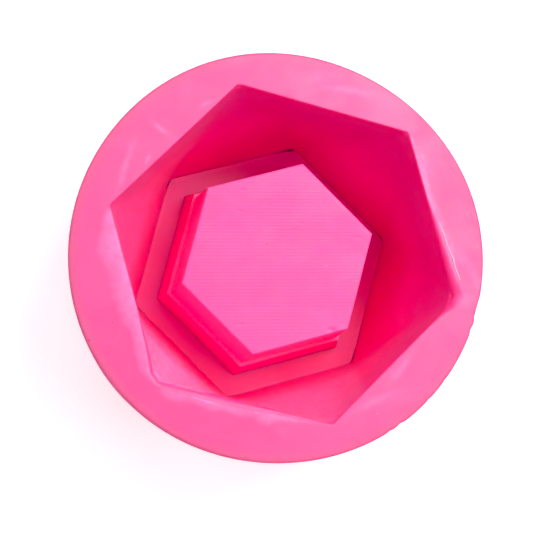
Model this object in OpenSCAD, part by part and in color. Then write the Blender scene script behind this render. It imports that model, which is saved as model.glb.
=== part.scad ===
// Silicone mould for casting a faceted six-sided pot.
// A round body holds a cavity whose mouth and floor are hexagons turned 30 degrees to each other,
// joined by twelve triangular facets. A stepped six-sided core stands on the cavity floor.
// The origin is at the middle of the round underside, +Z is up through the mouth,
// and the cavity is a little off centre towards +X, as in a mould poured by hand.

/* [Body] */
// Outside diameter of the body
body_d = 107; // [104:1:120]
// Overall height, from the underside to the rim
body_h = 60; // [56:1:70]
// Thickness of the layer under the cavity
base_t = 8; // [6:0.5:12]
// Radius of the rounded edge round the rim
rim_edge_r = 1; // [0.5:0.5:3]
// Radius of the rounded edge round the underside
base_edge_r = 1; // [0.5:0.5:3]

/* [Cavity] */
// Width of the mouth across its corners
mouth_w = 90.5; // [80:0.5:92]
// Width of the cavity floor across its corners
floor_w = 76; // [68:0.5:80]
// How far the cavity's axis is from the body's axis
cavity_shift = 1.4; // [0:0.1:2.5]

/* [Core] */
// Width of the core's top across its corners
core_top_w = 52.6; // [44:0.2:54]
// Width of the core just above its ledge, across its corners
core_waist_w = 56; // [54:0.2:58]
// Width of the core at the cavity floor, across its corners
core_foot_w = 62.6; // [60:0.2:66]
// Height of the core above the cavity floor
core_h = 38.2; // [30:0.2:44]
// Height of the ledge above the cavity floor
ledge_h = 13; // [8:0.5:20]
// Width and height of each of the ledge's steps
ledge_step = 0.5; // [0.3:0.1:0.8]
// Number of steps in the ledge
ledge_steps = 2; // [1:1:3]

/* [Hidden] */
$fn = 96;
sides = 6;
side_angle = 360 / sides;
mouth_turn = side_angle / 2;
cut_past = 1;
silicone = [1, 0.46, 0.7];
silicone_deep = [0.97, 0.3, 0.56];

// One ring of a hexagon's corners at height z, turned about +Z
function corners(width, turn, z) = [
    for (i = [0 : sides - 1])
        [width / 2 * cos(turn + side_angle * i), width / 2 * sin(turn + side_angle * i), z]
];

// The side faces between two rings whose corners lie in line
function straight_sides(low, high) = [
    for (i = [0 : sides - 1])
        let (j = (i + 1) % sides)
            [low + i, high + i, high + j, low + j]
];

// The triangles between two rings turned by half a side: one set stands on the floor's edges
function facets_up(low, high) = [
    for (i = [0 : sides - 1])
        [low + i, high + i, low + (i + 1) % sides]
];

// The other set hangs from the mouth's edges
function facets_down(low, high) = [
    for (i = [0 : sides - 1])
        let (j = (i + 1) % sides)
            [high + i, high + j, low + j]
];

// The space inside the body, carried a little past the floor and the mouth so that it cuts cleanly
module cavity_space() {
    under = 0;
    bottom = sides;
    mouth = 2 * sides;
    over = 3 * sides;
    polyhedron(
        points = concat(
            corners(floor_w, 0, base_t - cut_past),
            corners(floor_w, 0, base_t),
            corners(mouth_w, mouth_turn, body_h),
            corners(mouth_w, mouth_turn, body_h + cut_past)
        ),
        faces = concat(
            [[for (i = [0 : sides - 1]) under + i]],
            straight_sides(under, bottom),
            facets_up(bottom, mouth),
            facets_down(bottom, mouth),
            straight_sides(mouth, over),
            [[for (i = [sides - 1 : -1 : 0]) over + i]]
        )
    );
}

// Half of the body's outline, from z0 to z1, with a rounded edge at the bottom and at the top
module half_outline(z0, z1, low_r, high_r) {
    body_r = body_d / 2;
    union() {
        translate([0, z0 + low_r]) square([body_r, z1 - z0 - low_r - high_r]);
        translate([0, z0]) square([body_r - low_r, z1 - z0 - high_r]);
        translate([0, z0 + low_r]) square([body_r - high_r, z1 - z0 - low_r]);
        if (low_r > 0) translate([body_r - low_r, z0 + low_r]) circle(r = low_r);
        if (high_r > 0) translate([body_r - high_r, z1 - high_r]) circle(r = high_r);
    }
}

// The round wall with the faceted cavity through it
module wall_ring() {
    color(silicone)
    difference() {
        rotate_extrude() half_outline(base_t, body_h, 0, rim_edge_r);
        translate([cavity_shift, 0, 0]) cavity_space();
    }
}

// The layer that closes the bottom and joins the ring to the core
module base_layer() {
    color(silicone_deep)
    rotate_extrude() half_outline(0, base_t, base_edge_r, 0);
}

// A six-sided block that narrows from its foot to its top
module tapered_block(foot_w, top_w, height) {
    cylinder(h = height, d1 = foot_w, d2 = top_w, $fn = sides);
}

// The core: a wide foot, a stepped ledge and a narrower post
module core() {
    ledge_w = core_waist_w + 2 * ledge_step * ledge_steps;
    color(silicone)
    translate([cavity_shift, 0, base_t])
    union() {
        tapered_block(core_foot_w, ledge_w, ledge_h);
        for (i = [1 : 1 : ledge_steps - 1])
            cylinder(
                h = ledge_h + i * ledge_step,
                d = core_waist_w + 2 * ledge_step * (ledge_steps - i),
                $fn = sides
            );
        translate([0, 0, ledge_h]) tapered_block(core_waist_w, core_top_w, core_h - ledge_h);
    }
}

wall_ring();
base_layer();
core();
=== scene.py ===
"""The looks of a round silicone casting mould with a faceted hexagonal cavity and a hexagonal core.

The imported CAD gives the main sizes. Three cast pieces stand for its three nodes, and a torn fin of
flash stands beside the lip of the mouth. Lengths are in millimetres until a mesh is made, and angles in
degrees, anticlockwise from +X as seen from above."""

import math

import bpy
import numpy as np
from mathutils import Matrix, Vector


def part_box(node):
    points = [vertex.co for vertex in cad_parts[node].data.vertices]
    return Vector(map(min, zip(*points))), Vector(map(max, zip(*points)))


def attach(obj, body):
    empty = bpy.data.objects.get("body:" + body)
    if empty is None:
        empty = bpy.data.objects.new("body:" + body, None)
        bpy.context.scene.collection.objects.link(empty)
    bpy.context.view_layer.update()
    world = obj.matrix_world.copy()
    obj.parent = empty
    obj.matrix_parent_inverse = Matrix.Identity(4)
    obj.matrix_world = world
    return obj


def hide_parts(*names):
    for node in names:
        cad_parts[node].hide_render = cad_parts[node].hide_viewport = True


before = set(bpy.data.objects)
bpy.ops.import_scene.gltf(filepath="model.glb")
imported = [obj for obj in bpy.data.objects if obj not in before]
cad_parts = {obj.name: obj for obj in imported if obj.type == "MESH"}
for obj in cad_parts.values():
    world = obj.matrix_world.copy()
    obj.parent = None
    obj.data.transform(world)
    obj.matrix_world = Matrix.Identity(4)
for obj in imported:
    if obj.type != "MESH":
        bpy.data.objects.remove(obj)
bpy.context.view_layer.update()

MM = 0.001
BODY = "root"


# ---------------------------------------------------------------- sizes that the frame gives

def node_points(name):
    """The points of a CAD node, in millimetres."""
    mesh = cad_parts[name].data
    points = np.empty(3 * len(mesh.vertices))
    mesh.vertices.foreach_get("co", points)
    return points.reshape(-1, 3) / MM


def node_box(name):
    """The lowest and highest corners of a CAD node, in millimetres."""
    return tuple(np.array(corner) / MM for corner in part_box(name))


ring_low, ring_high = node_box("wall_ring")
core_low, core_high = node_box("core")

CAVITY_AXIS = (core_low[:2] + core_high[:2]) / 2
RIM_Z = ring_high[2]
FLOOR_Z = ring_low[2]
BODY_R = ring_high[0]


# Places within this height of a level count as on it.
LEVEL_TOLERANCE = 0.05


def radii_at(points, height, centre):
    """Distances from a vertical axis of the points at one height."""
    level = points[np.abs(points[:, 2] - height) < LEVEL_TOLERANCE]
    return np.hypot(*(level[:, :2] - centre).T)


ring_points = node_points("wall_ring")
MOUTH_R = radii_at(ring_points, RIM_Z, CAVITY_AXIS).min()
FLOOR_R = radii_at(ring_points, FLOOR_Z, CAVITY_AXIS).min()
RIM_EDGE_R = BODY_R - radii_at(ring_points, RIM_Z, np.zeros(2)).max()


def core_profile():
    """Corner radius and height of each step of the core, as (height, radius) from its foot up. Points
    near the axis aren't corners."""
    points = node_points("core")
    radii = np.hypot(*(points[:, :2] - CAVITY_AXIS).T)
    steps = {(round(z, 2), round(r, 2)) for z, r in zip(points[:, 2], radii) if r > 1}
    return sorted(steps, key=lambda step: (step[0], -step[1]))


# ---------------------------------------------------------------- small tools

SIDES = 6
SIDE_ANGLE = 360 / SIDES
MOUTH_TURN = SIDE_ANGLE / 2
PRINT_LINE_ANGLE = -14.5


def direction(degrees):
    """Unit vectors in the plane, one for each angle."""
    angle = np.radians(degrees)
    return np.stack([np.cos(angle), np.sin(angle)], axis=-1)


def angles_of(xy):
    """The angle at which each place is seen from where its coordinates start."""
    return np.degrees(np.arctan2(xy[:, 1], xy[:, 0]))


def smooth_step(value):
    """0 up to 0 and 1 from 1 on, with a smooth rise between."""
    value = np.clip(value, 0, 1)
    return value * value * (3 - 2 * value)


def fade_between(value, low, high, rise, fall):
    """1 between low and high, falling smoothly to 0 at them over 1 / rise and 1 / fall."""
    return smooth_step((value - low) * rise) * smooth_step((high - value) * fall)


def facing(degrees, middle):
    """1 for the middle direction, falling to 0 for the opposite one."""
    return 0.5 + 0.5 * np.cos(np.radians(degrees - middle))


def eased(count, amount):
    """count + 1 values from 0 to 1, closer together near both ends; amount is from 0 to 1."""
    u = np.linspace(0, 1, count + 1)
    return u - amount * np.sin(2 * math.pi * u) / (2 * math.pi)


def quarter_turns(steps):
    """The turns of a rounded edge's rows after the first, in radians."""
    return np.linspace(0, math.pi / 2, steps + 1)[1:]


def bell(distance, width):
    """1 at no distance, falling off on both sides."""
    return np.exp(-((distance / width) ** 2))


def bumps(table, offset):
    """Height of the small bumps in a table such as RIM_BUMPS; offset is from the cavity's axis."""
    height = np.zeros(len(offset))
    for angle, radius, rise, half_width in table:
        distance = np.hypot(*(offset - radius * direction(angle)).T)
        height = height + rise * bell(distance, half_width)
    return height


class Waves:
    """A slow, uneven surface: the sum of plane waves in seeded random directions, about 1 high."""

    def __init__(self, seed, shortest, longest, count=14):
        random = np.random.default_rng(seed)
        lengths = np.exp(random.uniform(math.log(shortest), math.log(longest), count))
        turns = random.uniform(0, 360, count)
        self.pushes = direction(turns) * (2 * math.pi / lengths)[:, None]
        self.phases = random.uniform(0, 2 * math.pi, count)
        self.weights = lengths / lengths.sum()

    def __call__(self, xy):
        return np.sin(xy @ self.pushes.T + self.phases) @ self.weights


def outward_first(points, faces):
    """The faces, turned over if they face into the solid."""
    triangles = np.array([f[:3] for f in faces] + [(f[0], f[2], f[3]) for f in faces if len(f) == 4])
    a, b, c = (points[triangles[:, k]] for k in range(3))
    volume = np.einsum("ij,ij->i", a, np.cross(b, c)).sum()
    return faces if volume > 0 else [face[::-1] for face in faces]


def band_faces(lower, upper, closed=True):
    """Four-sided faces between two rows of point numbers."""
    pairs = list(zip(lower, upper))
    if closed:
        pairs.append(pairs[0])
    return [(a, b, d, c) for (a, c), (b, d) in zip(pairs, pairs[1:])]


def split_faces(lower, upper):
    """Three-sided faces between two closed rows, split from each lower point's right neighbour to the
    point above it."""
    right = np.roll(lower, -1), np.roll(upper, -1)
    faces = [(a, b, c) for a, b, c in zip(lower, right[0], upper)]
    return faces + [(b, d, c) for b, d, c in zip(right[0], right[1], upper)]


def fan_faces(row, centre):
    """Three-sided faces between a closed row and one point."""
    return [(a, b, centre) for a, b in zip(row, np.roll(row, -1))]


def without_unused(points, faces):
    """The points that some face uses, and the faces with the points' new numbers."""
    used = np.unique(np.concatenate([np.array(face) for face in faces]))
    renumber = np.zeros(len(points), int)
    renumber[used] = np.arange(len(used))
    return points[used], [tuple(renumber[list(face)]) for face in faces]


def cast_piece(name, points, faces, material, whitening=None, painted_shade=None, crease=40):
    """A smooth-shaded piece of the casting, with edges kept sharp where it turns more than crease.
    Its points carry how much the material is whitened there, by bloom in some places and by painted
    light in others, and how much painted shade: the share of the material's shade colour."""
    mesh = bpy.data.meshes.new(name)
    faces = [tuple(int(i) for i in face) for face in outward_first(points, faces)]
    mesh.from_pydata((points * MM).tolist(), [], faces)
    mesh.shade_smooth()
    mesh.set_sharp_from_angle(angle=math.radians(crease))
    for label, amounts in (("whitening", whitening), ("painted_shade", painted_shade)):
        values = mesh.attributes.new(label, "FLOAT", "POINT")
        values.data.foreach_set("value", np.zeros(len(points)) if amounts is None else amounts)
    mesh.materials.append(material)
    piece = bpy.data.objects.new(name, mesh)
    bpy.context.scene.collection.objects.link(piece)
    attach(piece, BODY)
    return piece


# ---------------------------------------------------------------- camera

LENS_MM = 82.0
SENSOR_MM = 36.0
CAMERA_AIM = np.array([*(CAVITY_AXIS + [-5.58, -4.13]), RIM_Z])
CAMERA_DISTANCE = 314.2
CAMERA_AZIMUTH = -159.4
CAMERA_ELEVATION = 81.1
CAMERA_ROLL = -54.5


def add_camera():
    """A camera almost straight above the mould, turned about its own axis by CAMERA_ROLL."""
    elevation = math.radians(CAMERA_ELEVATION)
    flat = direction(CAMERA_AZIMUTH) * math.cos(elevation)
    away = Vector((*flat, math.sin(elevation)))
    upright = (Vector((0, 0, 1)) - away * away.z).normalized()
    sideways = (-away).cross(upright)
    roll = math.radians(CAMERA_ROLL)
    up = math.cos(roll) * upright + math.sin(roll) * sideways
    right = (-away).cross(up)
    camera = bpy.data.objects.new("camera", bpy.data.cameras.new("camera"))
    camera.data.lens = LENS_MM
    camera.data.sensor_width = SENSOR_MM
    camera.data.clip_start = 0.01
    place = (Vector(CAMERA_AIM) + CAMERA_DISTANCE * away) * MM
    camera.matrix_world = Matrix.Translation(place) @ Matrix((right, up, away)).transposed().to_4x4()
    bpy.context.scene.collection.objects.link(camera)
    bpy.context.scene.camera = camera


# ---------------------------------------------------------------- materials

# The pigment's usual colour, where it is deeper and where it is paler. The core's copy has less red,
# as painted shade on its darker sides, and is a little bluer; the torn flash is thin enough to look pale.
PINKS = ((0.994, 0.089, 0.348), (0.992, 0.077, 0.325), (0.996, 0.122, 0.408))
CORE_SHADED_PINKS = ((0.90, 0.090, 0.410), (0.89, 0.081, 0.385), (0.91, 0.116, 0.460))
THIN_PINKS = ((1.0, 0.52, 0.70), (1.0, 0.48, 0.66), (1.0, 0.60, 0.76))
# What the painted shade turns the colour to: on the floor and the core's sides, and on the ring's outer
# edge.
PAINTED_SHADE_PINK = (0.55, 0.020, 0.35)
PINK_EDGE_SHADE = (0.40, 0.120, 0.25)
# The whitened colour: bloom, and painted light where the points carry that.
PINK_BLOOM_AND_LIGHT = (1.0, 0.38, 0.80)
# Painted shade in the pits of burst bubbles.
PIT_SHADE_COLOUR = (0.42, 0.02, 0.09)
DUST_COLOUR = (1.0, 0.40, 0.60)
# How far red, green and blue light goes in the silicone.
SCATTER_MM = (3.2, 0.14, 0.24)
# How strongly the board under the mould glows.
FLOOR_GLOW = 0.45

# Scales of the silicone's textures, as features to a millimetre.
CLOUD_SCALE = 0.045
SWIRL_SCALE = 0.06
PATCH_SCALE = 0.55
SPOT_SCALE = 0.16
HANDLING_SCALE = 0.11
SKIN_SCALE = 1.4
GRAIN_SCALE = 7.0
# Each spot cell draws a number from 0 to 1: it holds a pit above the first and dust below the second.
PIT_ABOVE = 0.72
DUST_BELOW = 0.16
PIT_SHADE_STRENGTH = 0.8
DUST_STRENGTH = 0.4
# Relief of the skin, the fine grain and the pits, in millimetres.
SKIN_RELIEF = 0.02
GRAIN_RELIEF = 0.004
PIT_DEPTH = 0.05
# Roughness where the skin is glossiest and where it is dullest, and what full whitening adds.
GLOSSIEST, DULLEST = 0.40, 0.52
BLOOM_ROUGHNESS = 0.08


class Nodes:
    """Short names for building one material's nodes."""

    def __init__(self, name):
        self.material = bpy.data.materials.new(name)
        self.material.use_nodes = True
        self.tree = self.material.node_tree
        self.tree.nodes.clear()

    def add(self, kind, inputs=None, **settings):
        node = self.tree.nodes.new(kind)
        for key, value in settings.items():
            setattr(node, key, value)
        for key, value in (inputs or {}).items():
            if isinstance(value, bpy.types.NodeSocket):
                self.tree.links.new(value, node.inputs[key])
            else:
                node.inputs[key].default_value = value
        return node

    def math(self, operation, first, second=0.0, clamp=False):
        node = self.add("ShaderNodeMath", {0: first, 1: second}, operation=operation, use_clamp=clamp)
        return node.outputs[0]

    def range(self, value, low, high, to_low=0.0, to_high=1.0):
        ends = {"From Min": low, "From Max": high, "To Min": to_low, "To Max": to_high}
        node = self.add("ShaderNodeMapRange", {"Value": value, **ends})
        node.interpolation_type = "SMOOTHSTEP"
        return node.outputs[0]

    def mix(self, factor, first, second):
        node = self.add("ShaderNodeMix", {"Factor": factor}, data_type="RGBA")
        for socket, colour in ((node.inputs[6], first), (node.inputs[7], second)):
            if isinstance(colour, bpy.types.NodeSocket):
                self.tree.links.new(colour, socket)
            else:
                socket.default_value = (*colour, 1)
        return node.outputs[2]

    def noise(self, vector, scale, detail=3.0, distortion=0.0, roughness=0.5):
        values = {"Vector": vector, "Scale": scale, "Detail": detail, "Distortion": distortion}
        return self.add("ShaderNodeTexNoise", {**values, "Roughness": roughness}).outputs["Fac"]


def pink_mix(make, place, pinks):
    """The pigment's colour: cloudy, and drawn out into paler swirls as it was stirred."""
    usual, deeper, paler = pinks
    clouds = make.noise(place, CLOUD_SCALE, detail=4, distortion=0.8)
    stirred = {"Vector": place, "Rotation": (0.3, 0.2, 0.9), "Scale": (0.35, 1.4, 1.0)}
    drawn = make.add("ShaderNodeMapping", stirred).outputs[0]
    swirls = make.noise(drawn, SWIRL_SCALE, detail=5, distortion=2.2, roughness=0.55)
    colour = make.mix(make.range(clouds, 0.35, 0.68), usual, deeper)
    return make.mix(make.range(swirls, 0.52, 0.78, 0.0, 0.45), colour, paler)


def spots(make, place):
    """Where the burst bubbles and the dust are: two values from 0 to 1."""
    cells = make.add("ShaderNodeTexVoronoi", {"Vector": place, "Scale": SPOT_SCALE})
    chance = make.add("ShaderNodeSeparateColor", {"Color": cells.outputs["Color"]}).outputs["Red"]
    near = make.range(cells.outputs["Distance"], 0.020, 0.045, 1.0, 0.0)
    pits = make.math("MULTIPLY", near, make.math("GREATER_THAN", chance, PIT_ABOVE))
    dust = make.math("MULTIPLY", near, make.math("LESS_THAN", chance, DUST_BELOW))
    return pits, dust


def skin_bump(make, place, pits):
    """The bump of the skin: a fine unevenness, a grain and the pits."""
    skin = make.noise(place, SKIN_SCALE, detail=4, roughness=0.6)
    grain = make.noise(place, GRAIN_SCALE, detail=2)
    grain_height = make.math("MULTIPLY", grain, GRAIN_RELIEF)
    relief = make.math("ADD", make.math("MULTIPLY", skin, SKIN_RELIEF), grain_height)
    relief = make.math("SUBTRACT", relief, make.math("MULTIPLY", pits, PIT_DEPTH))
    return make.add("ShaderNodeBump", {"Height": relief, "Distance": MM, "Strength": 1.0})


def silicone(name, pinks=PINKS, shaded_to=PINK_EDGE_SHADE, gloss_shift=0.0, depth=1.0):
    """Pigmented platinum silicone: translucent, softly glossy, a little cloudy, with bloom, dust and
    the odd burst bubble, whose pit is painted darker as shade. Its colour is whitened where the piece
    carries bloom, and where it carries painted light, and turns to the given shade colour as painted
    shade where the piece carries that. Light goes depth times as deep as usual. The texture's lengths
    are in millimetres."""
    make = Nodes(name)
    place = make.add("ShaderNodeTexCoord").outputs["Object"]
    place = make.add("ShaderNodeMapping", {"Vector": place, "Scale": (1 / MM, 1 / MM, 1 / MM)}).outputs[0]
    colour = pink_mix(make, place, pinks)

    # The points' whitening is bloom in most places, and painted light in the lip's highlight, on the lit
    # facets and on the core's ledges.
    whitening = make.add("ShaderNodeAttribute", attribute_name="whitening").outputs["Fac"]
    patches = make.noise(place, PATCH_SCALE, detail=5, roughness=0.65)
    ragged = make.math("MULTIPLY", whitening, make.range(patches, 0.34, 0.60, 0.62, 1.0))
    colour = make.mix(ragged, colour, PINK_BLOOM_AND_LIGHT)
    # Painted shade: the colour turns darker where the points carry painted shade.
    shaded = make.add("ShaderNodeAttribute", attribute_name="painted_shade").outputs["Fac"]
    colour = make.mix(shaded, colour, shaded_to)
    pits, dust = spots(make, place)
    # The pits are painted darker, as shade in their hollows; dust is paler.
    colour = make.mix(make.math("MULTIPLY", pits, PIT_SHADE_STRENGTH), colour, PIT_SHADE_COLOUR)
    colour = make.mix(make.math("MULTIPLY", dust, DUST_STRENGTH), colour, DUST_COLOUR)

    handling = make.noise(place, HANDLING_SCALE, detail=4, distortion=0.5)
    roughness = make.range(handling, 0.3, 0.7, GLOSSIEST + gloss_shift, DULLEST + gloss_shift)
    dulled = make.math("MULTIPLY", ragged, BLOOM_ROUGHNESS)
    roughness = make.math("ADD", roughness, dulled, clamp=True)

    shader = make.add("ShaderNodeBsdfPrincipled", {
        "Base Color": colour,
        "Roughness": roughness,
        "IOR": 1.5,
        "Specular IOR Level": 0.78,
        "Sheen Weight": 0.05,
        "Sheen Roughness": 0.5,
        "Subsurface Weight": 1.0,
        "Subsurface Radius": tuple(length / max(SCATTER_MM) for length in SCATTER_MM),
        "Subsurface Scale": max(SCATTER_MM) * MM * depth,
        "Normal": skin_bump(make, place, pits).outputs["Normal"],
    })
    make.add("ShaderNodeOutputMaterial", {"Surface": shader.outputs["BSDF"]})
    return make.material


def floor_material():
    """A pale, faintly mottled matt board, lit a little from below as on a light table."""
    make = Nodes("pale_board")
    place = make.add("ShaderNodeTexCoord").outputs["Object"]
    mottle = make.noise(place, 9.0, detail=5)
    colour = make.mix(make.range(mottle, 0.3, 0.7), (0.93, 0.93, 0.93), (0.97, 0.97, 0.97))
    shader = make.add("ShaderNodeBsdfPrincipled", {
        "Base Color": colour,
        "Roughness": 0.9,
        "Emission Color": (1, 1, 1, 1),
        "Emission Strength": FLOOR_GLOW,
    })
    make.add("ShaderNodeOutputMaterial", {"Surface": shader.outputs["BSDF"]})
    return make.material


# ---------------------------------------------------------------- outline of the casting

OUTLINE_R = BODY_R - 0.85
# The cup that the silicone was poured into wasn't quite round: waves round it, height, first crest.
OUTLINE_WAVES = ((1, 0.37, -117.0), (2, 0.40, -21.0), (3, 0.19, -28.0), (4, 0.09, 14.0), (5, 0.05, 7.0))
# The pieces of the casting are kept this far apart where they would touch.
SEAM = 0.02
CAVITY_DEPTH = RIM_Z - FLOOR_Z - SEAM
# The outline, and the outside wall and the flash, stay at least this far inside the CAD model's box.
OUTLINE_INSIDE = 0.03
WALL_INSIDE = 0.01
# How far the rim lies below the CAD model's on the whole, and how uneven it is.
RIM_DROP = 0.36
RIM_UNEVEN = 0.10
# Small chips in the outer edge: angle, depth, half width.
EDGE_CHIPS = ((331.5, 0.30, 0.9), (328.0, 0.35, 0.7), (324.0, 0.22, 0.8), (290.5, 0.30, 1.0),
              (287.0, 0.22, 0.8), (308.0, 0.12, 0.9), (301.0, 0.14, 0.7))

rim_waves = Waves(11, 9, 55)
wall_waves = Waves(12, 18, 90)


def outline_radius(degrees):
    """Radius of the casting's outside at each angle round the body's own axis."""
    radius = np.full(np.shape(degrees), OUTLINE_R)
    for count, height, crest in OUTLINE_WAVES:
        radius = radius + height * np.cos(np.radians(count * (degrees - crest)))
    return np.minimum(radius, BODY_R - OUTLINE_INSIDE)


def edge_chips(degrees):
    """How deep the chips in the outer edge go at each angle."""
    depth = np.zeros(np.shape(degrees))
    for angle, chip, half_width in EDGE_CHIPS:
        turn = (degrees - angle + 180) % 360 - 180
        depth = depth + chip * bell(np.radians(turn) * BODY_R, half_width)
    return depth


# ---------------------------------------------------------------- the mouth and its lip

SIDE_COLUMNS = 88
COLUMNS = SIDES * SIDE_COLUMNS
# Silicone relaxes as it is peeled off the master: the mouth is a little longer along the print lines
# and a little shorter across them.
MOUTH_STRETCH = 0.009
MOUTH_SQUEEZE = -0.011
LIP_R = 0.30
# Where the lip is worn round: side, counted from the mouth's first corner, and pairs of the share of
# that side and the lip's radius.
WORN_LIPS = (
    (2, ((0.0, 0.30), (0.55, 0.35), (0.80, 0.9), (1.0, 1.9))),
    (3, ((0.0, 1.9), (0.40, 1.9), (0.65, 0.9), (0.85, 0.35), (1.0, 0.30))),
    (4, ((0.0, 0.30), (0.78, 0.35), (0.90, 0.9), (1.0, 2.3))),
    (5, ((0.0, 2.3), (0.12, 2.0), (0.30, 1.5), (0.46, 1.0), (0.60, 0.35), (1.0, 0.30))),
)
# Whitish bloom beside the lip: side, and pairs of the share of that side and the bloom's width.
BLOOMED_LIPS = (
    (2, ((0.0, 1.4), (0.10, 3.2), (0.21, 5.8), (0.35, 4.0), (0.50, 5.4), (0.70, 3.4), (1.0, 2.8))),
    (3, ((0.0, 2.8), (0.35, 3.6), (0.60, 3.2), (0.85, 0.8), (1.0, 0.0))),
    (5, ((0.0, 0.0), (0.12, 2.6), (0.30, 3.4), (0.50, 2.4), (0.75, 2.0), (0.95, 1.0), (1.0, 0.0))),
)

mouth_corners = CAVITY_AXIS + MOUTH_R * direction(MOUTH_TURN + SIDE_ANGLE * np.arange(SIDES))
floor_corners = CAVITY_AXIS + FLOOR_R * direction(SIDE_ANGLE * np.arange(1, SIDES + 1))
column_side, column_place = np.divmod(np.arange(COLUMNS), SIDE_COLUMNS)
column_share = column_place / SIDE_COLUMNS


def along_sides(table, elsewhere):
    """One value for each column, read between the pairs of a table such as WORN_LIPS."""
    values = np.full(COLUMNS, float(elsewhere))
    for side, pairs in table:
        here = column_side == side
        shares, amounts = zip(*pairs)
        values[here] = np.interp(column_share[here], shares, amounts)
    return values


def lip_outward():
    """The way out from the cavity at each column, longer at a corner, so that the bands meet there."""
    outward = direction(MOUTH_TURN + SIDE_ANGLE * (column_side + 0.5))
    at_corner = column_place == 0
    outward[at_corner] = direction(MOUTH_TURN + SIDE_ANGLE * column_side[at_corner])
    outward[at_corner] /= math.cos(math.pi / SIDES)
    return outward


def relaxed(xy, depth):
    """Cavity points, moved as the mouth has relaxed; depth is 0 at the rim and 1 at the floor."""
    long_way = direction(PRINT_LINE_ANGLE)
    short_way = direction(PRINT_LINE_ANGLE + 90)
    offset = xy - CAVITY_AXIS
    share = (1 - smooth_step(depth))[:, None]
    stretch = MOUTH_STRETCH * (offset @ long_way)[:, None] * long_way
    squeeze = MOUTH_SQUEEZE * (offset @ short_way)[:, None] * short_way
    return xy + share * (stretch + squeeze)


def facet_row(step, depth):
    """One row of points round the cavity's wall. step goes from 0 at the lip to SIDE_COLUMNS at the
    floor, and depth is each column's share of the way down. A facet that hangs from the mouth loses a
    point with each step, and the facet that stands beside it on the floor gains one."""
    after = (column_side + 1) % SIDES
    share = depth[:, None]
    start = mouth_corners[column_side] * (1 - share) + floor_corners[column_side] * share
    middle = mouth_corners[after] * (1 - share) + floor_corners[column_side] * share
    end = mouth_corners[after] * (1 - share) + floor_corners[after] * share
    hanging = SIDE_COLUMNS - step
    along = (column_place / max(hanging, 1))[:, None]
    beyond = ((column_place - hanging) / max(step, 1))[:, None]
    in_hanging = (column_place < hanging)[:, None]
    return np.where(in_hanging, start + along * (middle - start), middle + beyond * (end - middle))


# ---------------------------------------------------------------- wall ring

FACET_EASE = 0.35
RIM_EASE = 0.6
CREASE_ROUNDS = 50
# How far each round moves a point towards the middle of its neighbours.
CREASE_PULL = 0.8
LIP_STEPS = 9
RIM_STEPS = 34
EDGE_STEPS = 12
WALL_STEPS = 30
UNDER_STEPS = 5
WALL_SWELL = 0.10
# The chips in the outer edge fade out over this share of the wall's height.
CHIP_FADE = 1 / 6
# Gentle marks on the rim: angle and radius round the cavity's axis, height, half width.
RIM_BUMPS = ((252.4, 45.7, 0.10, 1.3), (120.0, 44.6, 0.08, 1.2), (300.0, 47.5, -0.06, 3.0),
             (75.0, 47.0, 0.05, 2.5))
# A fold across the rim, outward from the mouth's last corner and turned a little from it.
FOLD_CORNER = 5
FOLD_TURN = 4
FOLD_DEPTH = 0.10
FOLD_HALF_WIDTH = 0.55
FOLD_LENGTH = 7


def rim_height(xy):
    """Height of the rim's face, which is nearly flat."""
    fold_way = direction(MOUTH_TURN + SIDE_ANGLE * FOLD_CORNER + FOLD_TURN)
    offset = xy - mouth_corners[FOLD_CORNER]
    across = offset @ np.array([-fold_way[1], fold_way[0]])
    along = offset @ fold_way
    fold = FOLD_DEPTH * bell(across, FOLD_HALF_WIDTH) * fade_between(along, 0, FOLD_LENGTH, 1, 1 / 3)
    return RIM_Z - RIM_DROP + RIM_UNEVEN * rim_waves(xy) + bumps(RIM_BUMPS, xy - CAVITY_AXIS) - fold


def rounded_creases(rows):
    """The facets' rows with the hollow creases between them filled to a soft curve. The first and last
    rows stay where they are."""
    grid = np.array(rows)
    for _ in range(CREASE_ROUNDS):
        left, right = np.roll(grid, 1, axis=1), np.roll(grid, -1, axis=1)
        around = left[1:-1] + right[1:-1]
        across = grid[:-2] + grid[2:] + right[:-2] + left[2:]
        grid[1:-1] += CREASE_PULL * ((around + across) / 6 - grid[1:-1])
    return list(grid)


def facet_rows(lip_radius, lip_height):
    """Rows of points down the cavity's wall, from the foot of the rounded lip to the floor."""
    first_depth = (RIM_Z - lip_height + lip_radius) / CAVITY_DEPTH
    rows = []
    for step, share in enumerate(eased(SIDE_COLUMNS, FACET_EASE)):
        depth = first_depth + (1 - first_depth) * share
        xy = relaxed(facet_row(step, depth), depth)
        rows.append(np.c_[xy, RIM_Z - depth * CAVITY_DEPTH])
    return rounded_creases(rows)


def lip_rows(foot_xy, lip_radius, lip_height, outward):
    """Rows of points up round the lip, after its foot."""
    rows = []
    for turn in quarter_turns(LIP_STEPS):
        out = lip_radius * (1 - math.cos(turn))
        xy = foot_xy + outward * out[:, None]
        rows.append(np.c_[xy, lip_height - lip_radius * (1 - math.sin(turn))])
    return rows


def rim_rows(lip_xy, edge_xy):
    """Rows of points out across the rim's face, after the lip."""
    rows = []
    for share in eased(RIM_STEPS, RIM_EASE)[1:]:
        xy = lip_xy * (1 - share) + edge_xy * share
        rows.append(np.c_[xy, rim_height(xy)])
    return rows


def edge_rows(out_way, radius, edge_height):
    """Rows of points round the rim's outer edge, after its face."""
    rows = []
    for turn in quarter_turns(EDGE_STEPS):
        xy = out_way * (radius - RIM_EDGE_R * (1 - math.sin(turn)))[:, None]
        rows.append(np.c_[xy, edge_height - RIM_EDGE_R * (1 - math.cos(turn))])
    return rows


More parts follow.
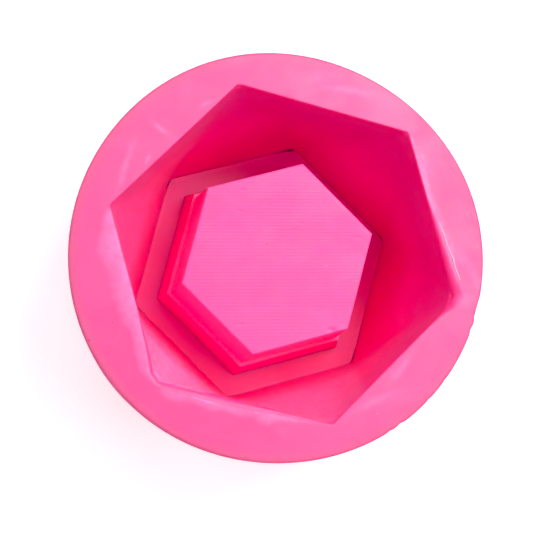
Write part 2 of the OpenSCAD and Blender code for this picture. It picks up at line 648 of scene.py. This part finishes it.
def wall_rows(angles, chips, wall_top):
    """Rows of points down the outside, after the rounded edge."""
    out_way = direction(angles)
    around = np.radians(angles) * BODY_R
    rows = []
    for share in np.linspace(0, 1, WALL_STEPS + 1)[1:]:
        height = wall_top * (1 - share) + (FLOOR_Z + SEAM) * share
        swell = WALL_SWELL * wall_waves(np.c_[around, height]) * math.sin(math.pi * share)
        chipped = chips * (1 - smooth_step(share / CHIP_FADE))
        reach = np.minimum(outline_radius(angles) - chipped + swell, BODY_R - WALL_INSIDE)
        rows.append(np.c_[out_way * reach[:, None], height])
    return rows


def ring_rows():
    """Rows of points once round the ring's section: down the facets, out below, up the outside, in
    over the rim and down round the lip. Returns the rows and how many of them are on the facets."""
    lip_radius = along_sides(WORN_LIPS, LIP_R)
    outward = lip_outward()
    first_xy = facet_row(0, lip_radius / CAVITY_DEPTH)
    lip_height = rim_height(first_xy + outward * lip_radius[:, None])
    facets = facet_rows(lip_radius, lip_height)
    lip = lip_rows(facets[0][:, :2], lip_radius, lip_height, outward)
    lip_xy = lip[-1][:, :2]

    angles = angles_of(lip_xy) % 360
    chips = edge_chips(angles)
    radius = outline_radius(angles) - chips
    out_way = direction(angles)
    edge_xy = out_way * (radius - RIM_EDGE_R)[:, None]
    edge_height = rim_height(edge_xy)
    rim = rim_rows(lip_xy, edge_xy)
    edge = edge_rows(out_way, radius, edge_height)
    wall = wall_rows(angles, chips, edge_height - RIM_EDGE_R)
    under = []
    for share in np.linspace(0, 1, UNDER_STEPS + 1)[1:-1]:
        under.append(wall[-1] * (1 - share) + facets[-1] * share)
    return facets + (lip + rim + edge + wall + under)[::-1], len(facets)


# How strong the bloom beside the lips is, how ragged its border, and the share of the lip's own
# radius from which it starts.
LIP_BLOOM = 0.58
LIP_RAGGED = 0.5
LIP_START = 0.8
# How far below the rim the bloom and painted highlight on it end, and over how much height.
RIM_BLOOM_DOWN, RIM_BLOOM_FADE = 1.8, 0.8
# Facets that stand on the floor and are painted lighter, as painted light where they face the key
# light: the mouth corner above each, and how much.
PAINTED_LIT_FACETS = ((3, 1.0), (4, 0.46), (2, 0.20))
# How far the painted light reaches to each side of the corner at the mouth, as an angle about the cavity's
# axis.
LIT_FACET_SPREAD = 15
# The shares of the way down at which the painted light starts and ends, how gradually, and the width
# of its border in degrees.
LIT_FACET_START, LIT_FACET_START_FADE = 0.012, 0.02
LIT_FACET_END, LIT_FACET_END_FADE = 0.96, 0.25
LIT_FACET_BORDER = 5
# A painted highlight along the lip, where a glossy fold catches the light: side, the shares between
# which it runs, how far out, half width.
PAINTED_LIP_HIGHLIGHT = (3, (0.17, 0.42), 1.9, 0.22)
# From this share of the side on, the highlight runs further out and gets wider.
STREAK_MIDDLE = 0.25
STREAK_SLANT = 1.2
STREAK_WIDENING = 1.4
# Loose patches of bloom on the rim: angle and radius round the cavity's axis, strength, half length
# and half width, and how far the patch leans from running round the rim.
BLOOM_PATCHES = (
    (120.2, 44.6, 0.40, 2.6, 0.5, 95), (131.0, 41.8, 0.37, 1.3, 0.5, 8), (137.0, 45.6, 0.28, 6.0, 0.8, 10),
    (102.8, 42.8, 0.34, 1.6, 0.4, -10), (55.0, 45.2, 0.34, 6.5, 0.9, 12), (62.0, 46.2, 0.19, 5.0, 2.0, 20),
    (20.0, 43.6, 0.28, 5.0, 1.2, 0), (343.0, 46.5, 0.25, 3.0, 1.6, 45), (338.0, 50.0, 0.22, 3.0, 1.2, 30),
    (331.5, 48.8, 0.25, 2.4, 0.4, 90), (300.0, 41.5, 0.28, 4.5, 1.0, 5), (285.0, 43.8, 0.25, 5.0, 1.1, -5),
)
# The casting's outer edge is greyed as painted shade, most of all on the side away from the key
# light: that side's middle direction, how wide the greyed edge is, how far down it goes, and how grey
# it is all round and on that side besides.
EDGE_SHADE_SIDE = 195
EDGE_SHADE_WIDTH = 4.5
EDGE_SHADE_DOWN = 7
EDGE_SHADE_ALL_ROUND = 0.22
EDGE_SHADE_ON_SIDE = 0.50


def beside_side(side, offset):
    """How far out from one side of the mouth each place is, and its share of the way along the side.
    Places are given from the cavity's axis."""
    start = mouth_corners[side] - CAVITY_AXIS
    end = mouth_corners[(side + 1) % SIDES] - CAVITY_AXIS
    length = np.hypot(*(end - start))
    way = (end - start) / length
    return (offset - start) @ np.array([way[1], -way[0]]), (offset - start) @ way / length


def lip_bloom(offset, ragged):
    """Bloom beside the lips that BLOOMED_LIPS names."""
    width = along_sides(BLOOMED_LIPS, 0)
    lip_radius = along_sides(WORN_LIPS, LIP_R)
    whitening = np.zeros(len(offset))
    for side, _ in BLOOMED_LIPS:
        out, share = beside_side(side, offset)
        reach = np.interp(share, column_share[:SIDE_COLUMNS], width[column_side == side])
        reach = reach * (1 + LIP_RAGGED * ragged)
        begin = np.interp(share, column_share[:SIDE_COLUMNS], lip_radius[column_side == side])
        inside = np.clip(1.15 - out / np.maximum(reach, 0.1), 0, 1) ** 0.7
        inside = inside * smooth_step((out - LIP_START * begin) / 0.9 + 0.4)
        whitening = np.maximum(whitening, LIP_BLOOM * inside * fade_between(share, 0, 1, 20, 20))
    return whitening


def painted_lip_highlight(offset):
    """Strength of the painted highlight on the lip at each place."""
    side, (begin, end), reach, half_width = PAINTED_LIP_HIGHLIGHT
    out, share = beside_side(side, offset)
    past_middle = share - STREAK_MIDDLE
    across = out - reach - STREAK_SLANT * past_middle
    width = half_width * (1 + STREAK_WIDENING * past_middle)
    return bell(across, width) * fade_between(share, begin, end, 14, 7)


def patch_bloom(offset, ragged):
    """Bloom in the loose patches on the rim."""
    whitening = np.zeros(len(offset))
    for angle, radius, strength, half_length, half_width, lean in BLOOM_PATCHES:
        way = direction(angle + 90 + lean)
        from_centre = offset - radius * direction(angle)
        along = from_centre @ way
        across = from_centre @ np.array([-way[1], way[0]]) + 0.5 * ragged
        whitening = np.maximum(whitening, strength * bell(along, half_length) * bell(across, half_width))
    return whitening


def facet_painted_light(points):
    """Painted light on the facets listed above, from below the lip to near the floor."""
    offset = points[:, :2] - CAVITY_AXIS
    depth = (RIM_Z - points[:, 2]) / (RIM_Z - FLOOR_Z)
    in_cavity = np.hypot(*offset.T) < MOUTH_R + 1.0
    down = smooth_step((LIT_FACET_END - depth) / LIT_FACET_END_FADE) * in_cavity
    down = down * smooth_step((depth - LIT_FACET_START) / LIT_FACET_START_FADE)
    half_width = LIT_FACET_SPREAD + (MOUTH_TURN - LIT_FACET_SPREAD) * depth
    whitening = np.zeros(len(points))
    for corner, strength in PAINTED_LIT_FACETS:
        turn = angles_of(offset) - MOUTH_TURN - SIDE_ANGLE * corner
        turn = np.abs((turn + 180) % 360 - 180)
        across = smooth_step((half_width - turn) / LIT_FACET_BORDER + 0.5)
        whitening = np.maximum(whitening, strength * across * down)
    return whitening


def ring_bloom_and_light(points):
    """How much each point of the ring is whitened: bloom beside the lips and in loose patches on the
    rim, a painted highlight along one lip, and painted light on some of the facets."""
    offset = points[:, :2] - CAVITY_AXIS
    ragged = Waves(21, 2.5, 12.0)(points[:, :2])
    on_top = smooth_step((points[:, 2] - RIM_Z + RIM_BLOOM_DOWN) / RIM_BLOOM_FADE)
    rim_whitening = np.maximum(lip_bloom(offset, ragged), painted_lip_highlight(offset))
    rim_whitening = np.maximum(rim_whitening, patch_bloom(offset, ragged)) * on_top
    return np.clip(np.maximum(rim_whitening, facet_painted_light(points)), 0, 1)


def ring_edge_shade(points):
    """How much painted shade greys each point of the ring: most at its outer edge, and less down the
    outside.
    """
    angles = angles_of(points)
    inward = outline_radius(angles) - np.hypot(*points[:, :2].T)
    near_edge = smooth_step((EDGE_SHADE_WIDTH - inward) / EDGE_SHADE_WIDTH)
    near_top = smooth_step((points[:, 2] - RIM_Z + EDGE_SHADE_DOWN) / (EDGE_SHADE_DOWN - 1))
    return near_edge ** 2 * (EDGE_SHADE_ALL_ROUND + EDGE_SHADE_ON_SIDE * facing(angles, EDGE_SHADE_SIDE)) * near_top


def make_wall_ring(material):
    """The walled body of the mould, from the floor's level up."""
    rows, facet_count = ring_rows()
    points = np.concatenate(rows)
    numbers = np.arange(len(points)).reshape(len(rows), COLUMNS)
    faces = []
    for row in range(len(rows)):
        lower, upper = numbers[row], numbers[(row + 1) % len(rows)]
        faces += split_faces(lower, upper) if row < facet_count - 1 else band_faces(lower, upper)
    whitening, painted_shade = ring_bloom_and_light(points), ring_edge_shade(points)
    piece = cast_piece("cast_wall_ring", points, faces, material, whitening=whitening, painted_shade=painted_shade)
    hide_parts("wall_ring")


# ---------------------------------------------------------------- base layer

BASE_COLUMNS = 480
# Rows of points over the floor, down the side, round the edge and in under the base.
FLOOR_ROWS = 60
SIDE_ROWS = 5
BASE_EDGE_STEPS = 6
UNDERSIDE_ROWS = 40
# The innermost row's share of the radius, inside which faces meet in the middle.
INNERMOST = 0.03
BASE_EDGE_R = 1.0
BASE_UNEVEN = 0.12
# The directions about the cavity's axis in which the floor gets the most painted shade: all the way
# across, on the side in the walls' shadow from the key light, and beside the core's foot, where the
# core's shadow falls; and how far from the foot the second reaches.
SHADED_SIDE = 50
CORE_SHADOW_SIDE = 208
CORE_SHADOW_REACH = 6.0
# How much painted shade the floor has everywhere, and what each of the two sides adds.
FLOOR_PAINTED_SHADE = 0.22
SHADED_SIDE_PAINTED_SHADE = 0.36
CORE_SHADOW_PAINTED_SHADE = 0.35


def floor_painted_shade(points):
    """How much painted shade each point of the base layer has: on the floor, most on two sides."""
    offset = points[:, :2] - CAVITY_AXIS
    angles = angles_of(offset)
    from_middle = np.radians(angles % SIDE_ANGLE - MOUTH_TURN)
    flat_share = math.cos(math.radians(MOUTH_TURN)) / np.cos(from_middle)
    reach = np.hypot(*offset.T)
    beyond = np.maximum(reach - core_profile()[0][1] * flat_share, 0)
    on_floor = smooth_step((FLOOR_R * flat_share - reach) / 1.2) * (points[:, 2] > FLOOR_Z - 0.1)
    by_foot = CORE_SHADOW_PAINTED_SHADE * facing(angles, CORE_SHADOW_SIDE) ** 2 * bell(beyond, CORE_SHADOW_REACH)
    return on_floor * (FLOOR_PAINTED_SHADE + SHADED_SIDE_PAINTED_SHADE * facing(angles, SHADED_SIDE) + by_foot)


def base_rows():
    """Rows of points out over the floor, down the side, round the edge and in under the base."""
    angles = np.arange(BASE_COLUMNS) * 360 / BASE_COLUMNS
    radius = outline_radius(angles)
    way = direction(angles)
    under_waves = Waves(31, 10, 60)
    rows = []
    for share in np.linspace(INNERMOST, 1, FLOOR_ROWS):
        rows.append(np.c_[way * (radius * share)[:, None], np.full(BASE_COLUMNS, FLOOR_Z)])
    for height in np.linspace(FLOOR_Z, BASE_EDGE_R, SIDE_ROWS + 1)[1:]:
        rows.append(np.c_[way * radius[:, None], np.full(BASE_COLUMNS, height)])
    for turn in quarter_turns(BASE_EDGE_STEPS):
        reach = radius - BASE_EDGE_R * (1 - math.cos(turn))
        height = np.full(BASE_COLUMNS, BASE_EDGE_R * (1 - math.sin(turn)))
        rows.append(np.c_[way * reach[:, None], height])
    for share in np.linspace(1, INNERMOST, UNDERSIDE_ROWS)[1:]:
        xy = way * ((radius - BASE_EDGE_R) * share)[:, None]
        rise = BASE_UNEVEN * (1 + under_waves(xy)) * smooth_step((1 - share) * 8)
        rows.append(np.c_[xy, rise])
    return rows


def make_base_layer(material):
    """The disc under the ring and the core. Its top is the floor of the cavity."""
    rows = base_rows()
    middles = [[0, 0, FLOOR_Z], [0, 0, rows[-1][:, 2].mean()]]
    points = np.concatenate([*rows, middles])
    numbers = np.arange(len(rows) * BASE_COLUMNS).reshape(len(rows), BASE_COLUMNS)
    faces = []
    for lower, upper in zip(numbers, numbers[1:]):
        faces += band_faces(lower, upper)
    faces += fan_faces(numbers[0][::-1], len(points) - 2)
    faces += fan_faces(numbers[-1], len(points) - 1)
    piece = cast_piece("cast_base_layer", points, faces, material, painted_shade=floor_painted_shade(points))
    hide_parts("base_layer")


# ---------------------------------------------------------------- core

LINE_PITCH = 0.887
LINE_HEIGHT = 0.024
LINE_WANDER = 0.10
# How far the top is below the CAD model's, so that nicks can stand up from it.
TOP_DROP = 0.05
LINE_SAMPLES = 6
CORE_EDGE_R = 0.35
CORE_SPANS = 56
CORE_EDGE_STEPS = 5
CORE_WALL_STEP = 1.1
# How strong the painted light is on the ledges, which face up to the light, and on the sides above
# them, and how far past the ledges it goes.
LEDGE_PAINTED_LIGHT = 0.30
SIDE_PAINTED_LIGHT = 0.07
LEDGE_LIGHT_REACH = 0.9
# How much painted shade the core's sides get.
CORE_PAINTED_SHADE = 0.35
# Nicks and whiskers on the core's top edge: angle and radius round the cavity's axis, rise, half width.
CORE_NICKS = ((99.4, 22.9, 0.22, 0.5), (296.0, 24.2, 0.30, 0.6), (291.5, 23.6, -0.35, 0.7),
              (332.0, 23.4, -0.30, 0.5), (336.0, 23.6, 0.20, 0.4))
# Burst bubbles in the core's top: angle, radius, depth, half width.
CORE_BUBBLES = ((102.0, 20.3, 0.22, 0.28), (43.0, 11.1, 0.18, 0.30), (0.5, 22.0, 0.22, 0.28),
                (225.4, 20.0, 0.25, 0.30), (114.0, 16.0, 0.16, 0.25))


def hexagon_reach(across):
    """Ends of the chord that crosses a hexagon of corner radius 1, at a distance from its middle, in
    the print lines' own directions."""
    turns = np.radians(SIDE_ANGLE * np.arange(SIDES) - PRINT_LINE_ANGLE)
    along_corner, across_corner = np.cos(turns), np.sin(turns)
    low, high = math.inf, -math.inf
    for k in range(SIDES):
        a, b = k, (k + 1) % SIDES
        span = across_corner[b] - across_corner[a]
        share = (across - across_corner[a]) / span
        if -1e-9 <= share <= 1 + 1e-9:
            along = along_corner[a] + share * (along_corner[b] - along_corner[a])
            low, high = min(low, along), max(high, along)
    return low, high


def chord_places(radius):
    """Distances across the print lines at which the top has a row of points. The hexagon's corners
    are among them."""
    corners = np.sort(np.sin(np.radians(SIDE_ANGLE * np.arange(SIDES) - PRINT_LINE_ANGLE)))
    places = [corners[0]]
    for low, high in zip(corners, corners[1:]):
        count = max(1, math.ceil((high - low) * radius * LINE_SAMPLES / LINE_PITCH))
        places += list(np.linspace(low, high, count + 1)[1:])
    return np.array(places)


def core_top_height(xy):
    """Height of the core's top: print lines that wander a little, bubbles and nicks."""
    offset = xy - CAVITY_AXIS
    across = offset @ direction(PRINT_LINE_ANGLE + 90)
    wander = LINE_WANDER * Waves(41, 15, 60)(offset)
    lines = 0.5 + 0.5 * np.cos(2 * math.pi * (across + wander) / LINE_PITCH)
    strength = 0.75 + 0.5 * Waves(42, 8, 30)(offset)
    height = core_high[2] - TOP_DROP - LINE_HEIGHT * strength * (1 - lines ** 1.6)
    height = height - bumps(CORE_BUBBLES, offset) + bumps(CORE_NICKS, offset)
    return np.minimum(height, core_high[2])


def core_painted_light(points):
    """Painted light on the core's ledges, and a little on its sides above them."""
    heights = [height for height, _ in core_profile()[1:-1]]
    up = points[:, 2]
    on_ledge = smooth_step((up - min(heights) + LEDGE_LIGHT_REACH) / 0.6)
    on_ledge = on_ledge * smooth_step((max(heights) + LEDGE_LIGHT_REACH - up) / 0.6)
    above = smooth_step((up - max(heights)) / 2) * (up < core_high[2] - CORE_EDGE_R)
    return np.maximum(LEDGE_PAINTED_LIGHT * on_ledge, SIDE_PAINTED_LIGHT * above)


def core_painted_shade(points):
    """How much painted shade each point of the core has: most on the sides that face the floor's most
    shaded side, and none on the top."""
    angles = angles_of(points[:, :2] - CAVITY_AXIS)
    on_side = smooth_step((core_high[2] - 0.15 - points[:, 2]) / 0.4)
    return CORE_PAINTED_SHADE * on_side * smooth_step(1.6 * facing(angles, SHADED_SIDE) - 0.6)


def core_top_grid(places):
    """Places on the top of a core of corner radius 1, in rows along the print lines, and the points'
    numbers, a row for each place."""
    chords = []
    for place in places:
        low, high = hexagon_reach(place)
        along = np.linspace(low, high, CORE_SPANS + 1)[:, None]
        chords.append(along * direction(PRINT_LINE_ANGLE) + place * direction(PRINT_LINE_ANGLE + 90))
    unit = np.array(chords).reshape(-1, 2)
    return unit, np.arange(len(unit)).reshape(len(places), CORE_SPANS + 1)


def core_top_faces(numbers):
    """Faces of the top. The first and the last row are each at one corner of the hexagon, so each is
    drawn together into its first point."""
    tips = {int(i): int(row[0]) for row in (numbers[0], numbers[-1]) for i in row}
    faces = []
    for lower, upper in zip(numbers, numbers[1:]):
        for face in band_faces(lower, upper, closed=False):
            corners = [tips.get(int(i), int(i)) for i in face]
            faces.append(tuple(dict.fromkeys(corners)))
    return faces


def core_side_rows(unit, edge_z, inner_r, profile):
    """Rows of points round the top's edge and down the sides to the foot, after the edge of the top."""
    top_r = profile[-1][1]
    rows = []
    for turn in quarter_turns(CORE_EDGE_STEPS):
        radius = inner_r + (top_r - inner_r) * math.sin(turn)
        drop = CORE_EDGE_R * (1 - math.cos(turn))
        rows.append(np.c_[CAVITY_AXIS + radius * unit, edge_z - drop])
    levels = [
        (core_high[2] - CORE_EDGE_R, top_r),
        *reversed(profile[1:-1]),
        (FLOOR_Z + SEAM, profile[0][1]),
    ]
    for (z_from, r_from), (z_to, r_to) in zip(levels, levels[1:]):
        count = max(1, round(math.hypot(z_from - z_to, r_from - r_to) / CORE_WALL_STEP))
        for share in np.linspace(0, 1, count + 1)[1:]:
            radius = r_from * (1 - share) + r_to * share
            height = np.full(len(unit), z_from * (1 - share) + z_to * share)
            rows.append(np.c_[CAVITY_AXIS + radius * unit, height])
    return rows


def make_core(material):
    """The hexagonal core: a ledged, tapering block whose top carries the master's print lines."""
    profile = core_profile()
    inner_r = profile[-1][1] - CORE_EDGE_R / math.cos(math.pi / SIDES)
    unit, numbers = core_top_grid(chord_places(inner_r))
    top_xy = CAVITY_AXIS + inner_r * unit
    top = np.c_[top_xy, core_top_height(top_xy)]
    outline = np.array([numbers[0, 0], *numbers[1:-1, -1], numbers[-1, 0], *numbers[1:-1, 0][::-1]])
    rows = core_side_rows(unit[outline], top[outline, 2], inner_r, profile)

    points = np.concatenate([top, *rows, [[*CAVITY_AXIS, FLOOR_Z + SEAM]]])
    around = len(outline)
    bands = [outline]
    for k in range(len(rows)):
        bands.append(len(top) + k * around + np.arange(around))
    faces = core_top_faces(numbers)
    for upper, lower in zip(bands, bands[1:]):
        faces += band_faces(lower, upper)
    faces += fan_faces(bands[-1][::-1], len(points) - 1)
    points, faces = without_unused(points, faces)
    whitening, painted_shade = core_painted_light(points), core_painted_shade(points)
    piece = cast_piece("cast_core", points, faces, material, whitening=whitening, painted_shade=painted_shade, crease=75)
    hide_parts("core")


# ---------------------------------------------------------------- flash

FLASH_SIDE = 5
FLASH_SHARES = (0.10, 0.45)
FLASH_STATIONS = 90
FLASH_THICKNESS = 0.48
# How deep it is sunk in the rim, how far it stands from the lip, and how high.
FLASH_ROOT = 0.5
FLASH_AWAY = 0.35
FLASH_HEIGHT = 0.30
# How far it leans outward for each millimetre that it rises.
FLASH_LEAN = 0.35
# Its section: how far across, in thicknesses, and how far up, in heights, or down, in roots.
FLASH_SECTION = (
    (-0.5, -1.0), (-0.5, 0.2), (-0.42, 0.75), (-0.1, 1.0), (0.25, 0.85), (0.5, 0.3), (0.6, -1.0),
)


def flash_rows():
    """Rows of points along the flash, one for each corner of its section."""
    start, end = mouth_corners[FLASH_SIDE], mouth_corners[(FLASH_SIDE + 1) % SIDES]
    shares = np.linspace(*FLASH_SHARES, FLASH_STATIONS)
    way = (end - start) / np.hypot(*(end - start))
    outward = np.array([way[1], -way[0]])
    lip_radius = along_sides(WORN_LIPS, LIP_R)
    radius = np.interp(shares, column_share[:SIDE_COLUMNS], lip_radius[column_side == FLASH_SIDE])
    torn = Waves(51, 1.2, 9.0)
    line = relaxed(start + shares[:, None] * (end - start), np.zeros(FLASH_STATIONS))
    line = line + outward * (radius + FLASH_AWAY + 0.35 * torn(line))[:, None]
    ends = fade_between(shares, *FLASH_SHARES, 25, 12)
    surface = rim_height(line)
    rise = (FLASH_HEIGHT + 0.12 * torn(line * 2.3)) * ends + 0.01
    rise = np.minimum(rise, RIM_Z - WALL_INSIDE - surface)
    thickness = FLASH_THICKNESS * (0.35 + 0.65 * ends)
    rows = []
    for across, up in FLASH_SECTION:
        lean = FLASH_LEAN * max(up, 0)
        xy = line + outward * (thickness * across + lean * rise)[:, None]
        height = surface + (rise * up if up > 0 else FLASH_ROOT * up)
        rows.append(np.c_[xy, height])
    return rows


def make_flash(material):
    """A thin torn fin where silicone crept under the master's edge, standing beside the worn lip."""
    points = np.concatenate(flash_rows())
    numbers = np.arange(len(points)).reshape(len(FLASH_SECTION), FLASH_STATIONS)
    faces = []
    for k in range(len(numbers)):
        faces += band_faces(numbers[k], numbers[(k + 1) % len(numbers)], closed=False)
    faces += [tuple(numbers[:, 0]), tuple(numbers[::-1, -1])]
    cast_piece("torn_flash", points, faces, material, crease=60)


# ---------------------------------------------------------------- floor and light

FLOOR_HALF = 4000
LIGHT_DISTANCE = 900
# Each light: name, azimuth and elevation seen from the rim's middle, width, and how bright a white
# card facing it is, where 1 is white.
LIGHTS = (
    ("key", 30, 59, 480, 0.60),
    ("wing_left", 90, 62, 400, 0.15),
    ("wing_right", -30, 62, 400, 0.20),
    ("side_left", 150, 52, 400, 0.19),
    ("side_right", -90, 52, 400, 0.12),
)
WORLD_STRENGTH = 0.18
# The light is a little warm: how much stronger its red is than its green and blue.
WARMTH = 1.22
# The green value that is shown as none, because shadows in the photograph keep none.
SHADOW_GREEN = 0.024
# How many times light is followed in all, and how many of them inside the silicone and off matt faces.
MAX_BOUNCES = 36
DIFFUSE_BOUNCES = 32


def add_floor():
    """A pale board that the mould stands on."""
    corners = np.array([(-1, -1), (1, -1), (1, 1), (-1, 1)]) * FLOOR_HALF * MM
    mesh = bpy.data.meshes.new("floor")
    mesh.from_pydata([(x, y, 0) for x, y in corners], [], [(0, 1, 2, 3)])
    mesh.materials.append(floor_material())
    floor = bpy.data.objects.new("floor", mesh)
    bpy.context.scene.collection.objects.link(floor)


def add_lights():
    """Soft boxes that face the mould, and an even pale room."""
    target = Vector((0, 0, RIM_Z * MM))
    for name, azimuth, elevation, width, brightness in LIGHTS:
        lamp = bpy.data.lights.new(name, "AREA")
        lamp.shape = "DISK"
        lamp.size = width * MM
        lamp.color = (1, 1 / WARMTH, 1 / WARMTH)
        lamp.energy = WARMTH * brightness * (math.pi * LIGHT_DISTANCE * MM) ** 2
        rise = math.radians(elevation)
        away = Vector((*(direction(azimuth) * math.cos(rise)), math.sin(rise)))
        holder = bpy.data.objects.new(name, lamp)
        holder.location = target + away * LIGHT_DISTANCE * MM
        holder.rotation_euler = away.to_track_quat("Z", "Y").to_euler()
        bpy.context.scene.collection.objects.link(holder)
    world = bpy.data.worlds.new("room")
    world.use_nodes = True
    sky = world.node_tree.nodes["Background"]
    sky.inputs["Color"].default_value = (WARMTH, 1, 1, 1)
    sky.inputs["Strength"].default_value = WORLD_STRENGTH
    bpy.context.scene.world = world


def finish_like_print():
    """Plain display colours, with the faint green that shadows keep taken out. Light that has gone
    through the casting is followed for many bounces, because red light gets that far in it."""
    cycles = bpy.context.scene.cycles
    cycles.max_bounces = MAX_BOUNCES
    cycles.diffuse_bounces = DIFFUSE_BOUNCES
    settings = bpy.context.scene.view_settings
    settings.view_transform = "Standard"
    settings.use_curve_mapping = True
    settings.curve_mapping.black_level = (0, SHADOW_GREEN, 0)
    settings.curve_mapping.update()


# ---------------------------------------------------------------- the scene

add_camera()
make_wall_ring(silicone("silicone_ring"))
make_base_layer(silicone("silicone_base", shaded_to=PAINTED_SHADE_PINK, gloss_shift=-0.04))
make_core(silicone("silicone_core", CORE_SHADED_PINKS, PAINTED_SHADE_PINK, gloss_shift=0.04))
make_flash(silicone("silicone_flash", THIN_PINKS, depth=0.01))
add_floor()
add_lights()
finish_like_print()
